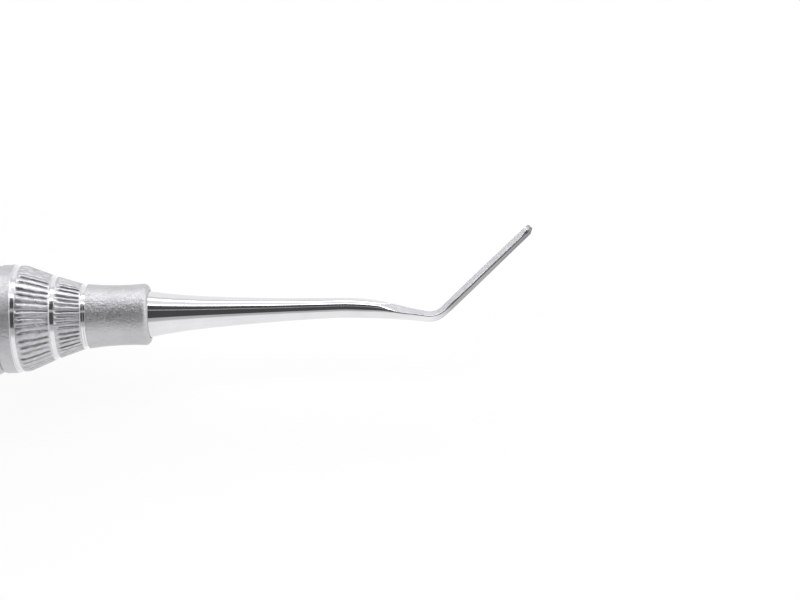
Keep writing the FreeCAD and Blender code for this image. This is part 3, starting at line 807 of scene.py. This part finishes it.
# Steps between rows along the neck, round the bend, along the blade and near its end
NECK_STEP = 0.16 * MM
BEND_STEP = 0.07 * MM
BLADE_STEP = 0.15 * MM
END_STEP = 0.04 * MM
END_RUN = 1.2 * MM
# The neck grows flat from this share of its arc to this far past the arc
FLAT_START_SHARE = 0.75
FLAT_RUN = 1.5 * MM
# Shares of the half thickness: where the face's side starts, and the hollow's limit
FACE_SHARE = 0.3
HOLLOW_SHARE = 0.5
# Share of its length in which the rim reaches its full depth
RIM_RISE_SHARE = 0.4


class BladePath:
    """Centre line of the neck and blade, by the distance along it from the round shank."""

    def __init__(self):
        self.start = LIP + SHANK_ROUND_LENGTH
        self.arc_length = NECK_CURVE * NECK_ANGLE
        turned = NECK_ANGLE + BLADE_ANGLE
        self.reach = BEND_RADIUS * math.tan(turned / 2)
        self.bend_start = self.arc_length + NECK_RUN - self.reach
        self.bend_length = BEND_RADIUS * turned
        self.bend_end = self.bend_start + self.bend_length
        self.length = self.bend_end + BLADE_LENGTH - BLADE_CLEARANCE - self.reach

    def place(self, distance):
        """(station, sideways, angle to the axis) at a distance along the line."""
        if distance <= 0:
            return self.start + distance, 0.0, 0.0
        if distance <= self.arc_length:
            angle = distance / NECK_CURVE
            return (
                self.start + NECK_CURVE * math.sin(angle),
                -NECK_CURVE * (1 - math.cos(angle)),
                -angle,
            )
        station, side, angle = self.place(self.arc_length)
        run = min(distance, self.bend_start) - self.arc_length
        station += run * math.cos(angle)
        side += run * math.sin(angle)
        if distance <= self.bend_start:
            return station, side, angle
        turned = (min(distance, self.bend_end) - self.bend_start) / BEND_RADIUS
        centre_x = station - BEND_RADIUS * math.sin(angle)
        centre_y = side + BEND_RADIUS * math.cos(angle)
        angle += turned
        station = centre_x + BEND_RADIUS * math.sin(angle)
        side = centre_y - BEND_RADIUS * math.cos(angle)
        run = max(distance - self.bend_end, 0)
        return station + run * math.cos(angle), side + run * math.sin(angle), angle


def blade_sections(path):
    """(distance, half width, half thickness, corner) along the neck and blade, with the
    last three written in mm, as in the CAD model."""
    corner = path.arc_length + NECK_RUN
    after = path.bend_end - path.reach
    table = [
        (0, 0.94, 0.94, 0.93),
        (path.arc_length * 0.5, 0.93, 0.91, 0.86),
        (path.arc_length * 0.9, 0.97, 0.76, 0.62),
        (corner - 3.2 * MM, 1.00, 0.54, 0.34),
        (corner - 1.8 * MM, 0.96, 0.35, 0.14),
        (path.bend_start, 0.93, 0.295, 0.09),
        (path.bend_end, 0.93, 0.295, 0.09),
        (after + 2.4 * MM, 1.00, 0.305, 0.08),
        (after + BLADE_LENGTH * 0.45, 0.98, 0.31, 0.07),
        (after + BLADE_LENGTH * 0.75, 0.90, 0.31, 0.06),
        (after + BLADE_LENGTH, 0.84, 0.31, 0.05),
    ]
    return np.array([(d, a * MM, b * MM, c * MM) for d, a, b, c in table])


def smooth_between(table, distance):
    """Values of a table at a distance, eased through its rows with no overshoot."""
    places = table[:, 0]
    values = table[:, 1:]
    runs = np.diff(places)[:, None]
    slopes = np.diff(values, axis=0) / runs
    tangents = np.zeros_like(values)
    same_way = slopes[1:] * slopes[:-1] > 0
    mean = 2 * slopes[1:] * slopes[:-1] / np.where(same_way, slopes[1:] + slopes[:-1], 1)
    tangents[1:-1] = np.where(same_way, mean, 0)
    tangents[0] = slopes[0]
    tangents[-1] = slopes[-1]
    i = int(np.clip(np.searchsorted(places, distance) - 1, 0, len(places) - 2))
    run = places[i + 1] - places[i]
    t = float(np.clip((distance - places[i]) / run, 0, 1))
    return (
        values[i] * (1 + 2 * t) * (1 - t) ** 2
        + tangents[i] * run * t * (1 - t) ** 2
        + values[i + 1] * t * t * (3 - 2 * t)
        + tangents[i + 1] * run * t * t * (t - 1)
    )


SIDE_POINTS = 9
CORNER_POINTS = 9
# A corner's limit as a share of the smaller half size, and the roundness where a section
# starts to turn into an ellipse, with the range over which it does
CORNER_LIMIT = 0.9
OVAL_START = 0.35
OVAL_RANGE = 0.6
QUARTER_SIGNS = ((1, 1), (-1, 1), (-1, -1), (1, -1))


def section_outline(half_width, half_thickness, back_corner, face_corner):
    """Points (across the thickness, across the width) round a section. The gouge's face
    is on the side of negative thickness, and its back on the positive side."""
    centres = []
    for sign_thick, sign_wide in QUARTER_SIGNS:
        corner = back_corner if sign_thick > 0 else face_corner
        centres.append((sign_thick * (half_thickness - corner), sign_wide * (half_width - corner), corner))
    points = []
    for quarter in range(4):
        thick, wide, corner = centres[quarter]
        for k in range(CORNER_POINTS):
            angle = (quarter + k / (CORNER_POINTS - 1)) * math.pi / 2
            points.append((thick + corner * math.cos(angle), wide + corner * math.sin(angle)))
        thick, wide, corner = centres[(quarter + 1) % 4]
        finish = (thick + corner * math.cos(angle), wide + corner * math.sin(angle))
        start = points[-1]
        for k in range(1, SIDE_POINTS):
            share = k / SIDE_POINTS
            points.append((
                start[0] + (finish[0] - start[0]) * share,
                start[1] + (finish[1] - start[1]) * share,
            ))
    return np.array(points)


def section_points(half_width, half_thickness, corner, face_corner, sharp):
    """A section's points: an ellipse where it is nearly round, so that it meets the
    turned shank exactly. sharp, from 0 to 1, tightens the corners of the back."""
    size = min(half_width, half_thickness)
    roundness = corner / size
    face_corner = min(max(corner, face_corner * sharp), CORNER_LIMIT * size)
    back_corner = face_corner + (BACK_CORNER - face_corner) * sharp
    drawn = section_outline(half_width, half_thickness, back_corner, face_corner)
    share = min(max((roundness - OVAL_START) / OVAL_RANGE, 0), 1)
    if share == 0:
        return drawn
    angles = np.arctan2(drawn[:, 1] / half_width, drawn[:, 0] / half_thickness)
    oval = np.stack([half_thickness * np.cos(angles), half_width * np.sin(angles)], axis=1)
    return drawn * (1 - share) + oval * share


def grind(outline, uncut, lean, depth):
    """Grinds a flat along both edges of a section, and says which points it moved. The
    flat leans from the edge towards the back, or towards the face if lean is negative.
    Its depth is measured on the uncut section."""
    across = math.sin(lean)
    upward = math.cos(lean)
    reach = (uncut[:, 0] * across + np.abs(uncut[:, 1]) * upward).max() - depth
    height = (reach - outline[:, 0] * across) / upward
    moved = np.abs(outline[:, 1]) > height
    outline[:, 1] = np.where(moved, np.sign(outline[:, 1]) * height, outline[:, 1])
    return moved


def hollow_drop(wide, distance, path, half_thickness):
    """Depth of the gouge's hollow below its face, at places across the blade."""
    from_end = path.length - distance
    if from_end > HOLLOW_LENGTH:
        return np.zeros_like(wide)
    deep = HOLLOW_DEPTH - from_end * math.tan(HOLLOW_TILT)
    deep -= BLADE_HALF_THICKNESS - half_thickness
    inside = np.maximum(HOLLOW_RADIUS**2 - wide**2, 0)
    return np.maximum(np.sqrt(inside) - (HOLLOW_RADIUS - deep), 0)


def eased(value, low, high):
    """0 below low and 1 above high, easing between them."""
    share = min(max((value - low) / (high - low), 0), 1)
    return share * share * (3 - 2 * share)


def tip_rows(path):
    """Distances of the rows in front of the round shank, closer at the bend and end."""
    distances = along(0, path.bend_start, NECK_STEP)
    distances += along(path.bend_start, path.bend_end, BEND_STEP)
    distances += along(path.bend_end, path.length - END_RUN, BLADE_STEP)
    distances += along(path.length - END_RUN, path.length - EDGE_ROUND, END_STEP)
    for degrees in range(0, 91, 18):
        distances.append(path.length - EDGE_ROUND * (1 - math.sin(math.radians(degrees))))
    return distances


def shank_rows():
    """(station, radius) along the tang and the round part of the shank."""
    seat = LIP - MOUTH_DEPTH
    mid = (LIP + SHANK_MID_LENGTH, SHANK_MID_RADIUS)
    root = (LIP, SHANK_ROOT)
    tip = (LIP + SHANK_ROUND_LENGTH, SHANK_ROUND_RADIUS)
    rows = [(TANG_REAR, TANG_RADIUS - TANG_CHAMFER), (TANG_REAR + TANG_CHAMFER, TANG_RADIUS)]
    rows += [(seat - 0.05 * MM, TANG_RADIUS), (seat, TANG_RADIUS), (seat, SHANK_ROOT - SHANK_CHAMFER)]
    rows += [(seat + SHANK_CHAMFER, SHANK_ROOT), (LIP - 0.1 * MM, SHANK_ROOT)]
    rows += [(s, arc_radius(s, root, mid, SHANK_ROOT_CURVE)) for s in along(root[0], mid[0], ROOT_STEP)]
    rows += [(s, arc_radius(s, mid, tip, SHANK_CURVE)) for s in along(mid[0], tip[0], SHANK_STEP)]
    return rows


def neck_ring(path, table, distance):
    """Points of the neck or blade at one distance, which of them are ground, and how
    dull and shaded each one is. The face gets a rougher finish and painted shade, and
    the ground end gets painted shade. The crown's and the rim's flats do not count as
    ground, and near the blade's end everything but its face does."""
    half_width, half_thickness, corner = smooth_between(table, distance)
    from_end = path.length - distance
    if from_end < BLADE_END_ROUND:
        inset = BLADE_END_ROUND - from_end
        half_width -= BLADE_END_ROUND - math.sqrt(max(BLADE_END_ROUND**2 - inset**2, 0))
    if from_end < EDGE_ROUND:
        shrink = EDGE_ROUND - math.sqrt(max(EDGE_ROUND**2 - (EDGE_ROUND - from_end) ** 2, 0))
        half_thickness -= shrink
        half_width -= shrink
    flattened = eased(distance, FLAT_START_SHARE * path.arc_length, path.arc_length + FLAT_RUN)
    towards_tip = eased(distance, path.bend_end, path.length - RIM_LENGTH)
    face_corner = FACE_CORNER_HEEL + (FACE_CORNER_TIP - FACE_CORNER_HEEL) * towards_tip
    outline = section_points(half_width, half_thickness, corner, face_corner, flattened)
    uncut = outline.copy()
    on_face = outline[:, 0] < -FACE_SHARE * half_thickness
    edge_depth = EDGE_DEPTH * flattened * (half_thickness / BLADE_HALF_THICKNESS) ** 0.5
    ground = grind(outline, uncut, EDGE_LEAN, edge_depth)
    crown = flattened * (1 - eased(distance, path.arc_length, path.arc_length + CROWN_FADE))
    if crown > 0:
        crown_depth = (2 * half_thickness - corner) * math.sin(CROWN_LEAN) * crown
        ground &= ~grind(outline, uncut, CROWN_LEAN, crown_depth)
    rim = eased(RIM_LENGTH - from_end, 0, RIM_LENGTH * RIM_RISE_SHARE)
    if rim > 0:
        ground &= ~grind(outline, uncut, RIM_LEAN, RIM_DEPTH * rim)
    if from_end < BLADE_END_GROUND:
        ground |= ~on_face
    drop = hollow_drop(outline[:, 1], distance, path, half_thickness)
    hollowed = np.minimum(outline[:, 0] + drop, HOLLOW_SHARE * half_thickness)
    outline[:, 0] = np.where(on_face, hollowed, outline[:, 0])
    # From the bend on, the face is dulled and darkened with painted shade, and the ground end is darkened
    # with painted shade.
    face_dull_and_shade = on_face * eased(distance, path.bend_start, path.bend_end + FACE_DULL_AND_SHADE_RUN)
    end_shade = eased(BLADE_END_GROUND - from_end, 0, END_SHADE_RUN)
    station, side, angle = path.place(distance)
    ring = np.empty((len(outline), 3))
    ring[:, 0] = station - outline[:, 0] * math.sin(angle)
    ring[:, 1] = side + outline[:, 0] * math.cos(angle)
    ring[:, 2] = outline[:, 1]
    return ring, ground, np.where(ground, end_shade, face_dull_and_shade)


def build_tip():
    """The working tip in one piece: tang, shank, neck and blade."""
    path = BladePath()
    table = blade_sections(path)
    rings = []
    grounds = []
    dulls_and_shades = []
    kinds = []
    for station, radius in shank_rows():
        outline = section_points(radius, radius, radius, 0, 0)
        rings.append(np.stack([np.full(len(outline), station), outline[:, 0], outline[:, 1]], axis=1))
        grounds.append(np.zeros(len(outline), bool))
        dulls_and_shades.append(np.zeros(len(outline)))
        kinds.append("turned" if station < LIP - MOUTH_DEPTH - 0.01 * MM else "polished")
    for distance in tip_rows(path):
        ring, ground, dull_and_shade = neck_ring(path, table, distance)
        rings.append(ring)
        grounds.append(ground)
        dulls_and_shades.append(dull_and_shade)
        kinds.append("polished")

    def zone_of_face(i, j):
        """A face is ground where both of its points in the nearer row are."""
        ahead = (j + 1) % len(grounds[i])
        return "ground" if grounds[i][j] and grounds[i][ahead] else kinds[i]

    points = from_nose(np.array(rings), 1)
    tip = grid_object("tip", points, None, wrap_rows=False, zone_of_face=zone_of_face)
    # The dulling and painted shade go on as a point attribute that the polished and ground materials read.
    dull_and_shade = tip.data.attributes.new("dull_and_shade", "FLOAT", "POINT")
    dull_and_shade.data.foreach_set("value", np.concatenate(dulls_and_shades + [np.zeros(1), np.ones(1)]))
    finish_piece(tip, "working_tip")


# ---- Rear plug

PLUG_COLUMNS = 96
DOME_STEPS = 24
# Radius of the end rows, which fans close, and how far behind the lip the dome's row is
PLUG_CENTRE = 0.02 * MM
PLUG_LAND = 0.02 * MM


def build_plug():
    """The domed plug: its head is part of a ball, and its stem fills the collar."""
    height = PLUG_FRONT - LIP
    curve = (PLUG_HEAD**2 + height**2) / (2 * height)
    seat = LIP - MOUTH_DEPTH
    corners = [
        (PLUG_REAR, PLUG_CENTRE, 0, "turned"),
        (PLUG_REAR, TANG_RADIUS, WIDE, "turned"),
        (seat, TANG_RADIUS, TIGHT, "turned"),
        (seat, PLUG_HEAD, SOFT, "polished"),
        (LIP - PLUG_LAND, PLUG_HEAD, 0, "polished"),
    ]
    full = math.asin(PLUG_HEAD / curve)
    for step in range(1, DOME_STEPS):
        angle = full * (1 - step / DOME_STEPS)
        station = PLUG_FRONT - curve * (1 - math.cos(angle))
        corners.append((station, curve * math.sin(angle), 0, "polished"))
    corners.append((PLUG_FRONT, PLUG_CENTRE, 0, "polished"))
    rows = rounded_outline(corners, closed=False)
    points = from_nose(turned_points(rows, even_angles(PLUG_COLUMNS)), -1)
    plug = grid_object("plug", points, [row[2] for row in rows], wrap_rows=False)
    finish_piece(plug, "rear_plug")


# ---- Hidden CAD pieces keep their shape and get their own finish

def finish_hidden():
    """Gives the pieces inside the handle a material each, and leaves their shapes."""
    finishes = {
        "tang_bushing": "turned",
        "tang_pin": "turned",
        "front_seal_ring": "silicone",
        "rear_seal_ring": "silicone",
    }
    for node, finish in finishes.items():
        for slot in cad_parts[node].material_slots:
            slot.material = MATERIALS[finish]


# ---- Stage: floor, light and camera

FLOOR_HALF = 1.5
FLOOR_DROP = 0.02 * MM
FLOOR_GREY = 0.15
FLOOR_GLOW = 0.885
CAMERA_DISTANCE = 186 * MM
CAMERA_ELEVATION = math.radians(75)
CAMERA_ROLL = math.radians(1.95)
VIEW_AHEAD_OF_LIP = 23.02 * MM
VIEW_ABOVE_AXIS = 1.31 * MM
LENS_MM = 90.7
SENSOR_MM = 36
NEAR_CLIP = 0.005

# The light tent. Angles are in degrees about the handle's line, up from +Y. A strip is
# (its middle, half its width, the brightness it adds). An edge is where a wall's easing
# starts and ends: in degrees for the sides, x over z for the ends, and x for the rear.
LAMP_STRIPS = ((53.5, 3.5, 4.0), (24, 4.5, 5.0), (10, 6, -0.2))
OPENING_STRIPS = ((86, 4.5, 0.52), (62, 4, 0.08))
OPENING_LEVEL = 0.075
FAR_WALL_EDGE = (53, 57)
NEAR_WALL_EDGES = ((123, 127), (138, 150))
WALL_LEVELS = (0.90, 0.93)
WALL_TURN = (60, 160)
END_WALL_EDGE = (0.55, 0.85)
REAR_WALL_EDGE = (-0.95, -0.25)
REAR_WALL = 0.35
TENT_TINT = (0.985, 0.985, 1.0, 1)


def build_floor():
    """A plain white floor, bright enough to look shadowless, like a light table."""
    mesh = bpy.data.meshes.new("floor")
    s = FLOOR_HALF
    mesh.from_pydata([(-s, -s, 0), (s, -s, 0), (s, s, 0), (-s, s, 0)], [], [(0, 1, 2, 3)])
    material = bpy.data.materials.new("floor_white")
    material.use_nodes = True
    shader = material.node_tree.nodes["Principled BSDF"]
    shader.inputs["Base Color"].default_value = (FLOOR_GREY, FLOOR_GREY, FLOOR_GREY, 1)
    shader.inputs["Roughness"].default_value = 0.9
    shader.inputs["Specular IOR Level"].default_value = 0.1
    shader.inputs["Emission Color"].default_value = (1, 1, 1, 1)
    shader.inputs["Emission Strength"].default_value = FLOOR_GLOW
    mesh.materials.append(material)
    floor = bpy.data.objects.new("floor", mesh)
    floor.location.z = -FLOOR_DROP
    bpy.context.scene.collection.objects.link(floor)


class TentNodes:
    """Short calls for building the light tent's node tree."""

    def __init__(self, tree):
        self.tree = tree

    def put(self, value, socket):
        """Gives a socket its number, or links it to another socket."""
        if isinstance(value, (int, float)):
            socket.default_value = value
        else:
            self.tree.links.new(value, socket)

    def math(self, operation, a, b=0.0):
        node = self.tree.nodes.new("ShaderNodeMath")
        node.operation = operation
        self.put(a, node.inputs[0])
        self.put(b, node.inputs[1])
        return node.outputs[0]

    def ramp(self, value, low, high, to_low, to_high):
        """Eases from to_low to to_high as value goes from low to high."""
        node = self.tree.nodes.new("ShaderNodeMapRange")
        node.interpolation_type = "SMOOTHSTEP"
        numbers = {"Value": value, "From Min": low, "From Max": high, "To Min": to_low, "To Max": to_high}
        for name, number in numbers.items():
            self.put(number, node.inputs[name])
        return node.outputs["Result"]

    def strip(self, angle, middle, half_width, added):
        """What a strip at that angle about the handle's line adds, easing to 0 at its edges."""
        away = self.math("ABSOLUTE", self.math("SUBTRACT", angle, middle))
        return self.math("MULTIPLY", self.ramp(away, 0.5 * half_width, half_width, 1, 0), added)

    def total(self, *terms):
        level = terms[0]
        for term in terms[1:]:
            level = self.math("ADD", level, term)
        return level


def build_world():
    """A white light tent, dark where it is open overhead, with two bright strips at +Y."""
    world = bpy.data.worlds.new("tent")
    bpy.context.scene.world = world
    world.use_nodes = True
    tree = world.node_tree
    nodes = TentNodes(tree)
    direction = tree.nodes.new("ShaderNodeSeparateXYZ")
    tree.links.new(tree.nodes.new("ShaderNodeTexCoord").outputs["Generated"], direction.inputs[0])
    x, y, z = direction.outputs
    turned = nodes.math("MULTIPLY", nodes.math("ARCTAN2", z, y), 180 / math.pi)
    in_line = nodes.math("ABSOLUTE", nodes.math("DIVIDE", x, nodes.math("MAXIMUM", z, 0.001)))
    off_end = nodes.ramp(in_line, *END_WALL_EDGE, 0, 1)
    far_side = nodes.ramp(turned, *FAR_WALL_EDGE, 1, 0)
    near_side = nodes.total(*[nodes.ramp(turned, *edge, 0, 0.5) for edge in NEAR_WALL_EDGES])
    clear = nodes.math("MAXIMUM", off_end, nodes.math("MAXIMUM", far_side, near_side))
    walls = nodes.total(
        nodes.ramp(turned, *WALL_TURN, *WALL_LEVELS),
        *[nodes.strip(turned, *row) for row in LAMP_STRIPS],
    )
    opening = nodes.total(*[nodes.strip(turned, *row) for row in OPENING_STRIPS], OPENING_LEVEL)
    rear_dim = nodes.ramp(x, *REAR_WALL_EDGE, REAR_WALL, 1)
    level = nodes.total(nodes.math("MULTIPLY", nodes.math("MULTIPLY", clear, walls), rear_dim), opening)
    background = tree.nodes["Background"]
    tree.links.new(level, background.inputs["Strength"])
    background.inputs["Color"].default_value = TENT_TINT


def build_camera():
    """The camera looks down on the front of the instrument from the -Y side."""
    sight = Vector((0, -math.cos(CAMERA_ELEVATION), math.sin(CAMERA_ELEVATION)))
    level_right = Vector((1, 0, 0))
    level_up = sight.cross(level_right)
    right = level_right * math.cos(CAMERA_ROLL) - level_up * math.sin(CAMERA_ROLL)
    up = level_right * math.sin(CAMERA_ROLL) + level_up * math.cos(CAMERA_ROLL)
    lip = Vector((GRIP_END + LIP, 0, AXIS_Z))
    target = lip + right * VIEW_AHEAD_OF_LIP + up * VIEW_ABOVE_AXIS
    turn = Matrix((right, up, sight)).transposed()
    data = bpy.data.cameras.new("camera")
    data.lens = LENS_MM
    data.sensor_width = SENSOR_MM
    data.clip_start = NEAR_CLIP
    camera = bpy.data.objects.new("camera", data)
    camera.matrix_world = Matrix.Translation(target + sight * CAMERA_DISTANCE) @ turn.to_4x4()
    bpy.context.scene.collection.objects.link(camera)
    bpy.context.scene.camera = camera


build_grip()
build_cone("front_nose", "front_cone", 1, seed=11)
build_collar("front_socket", "front_collar", 1)
build_tip()
build_cone("rear_nose", "rear_cone", -1, seed=23)
build_collar("rear_socket", "rear_collar", -1)
build_plug()
finish_hidden()
build_floor()
build_world()
build_camera()
bpy.context.scene.view_settings.view_transform = "Standard"
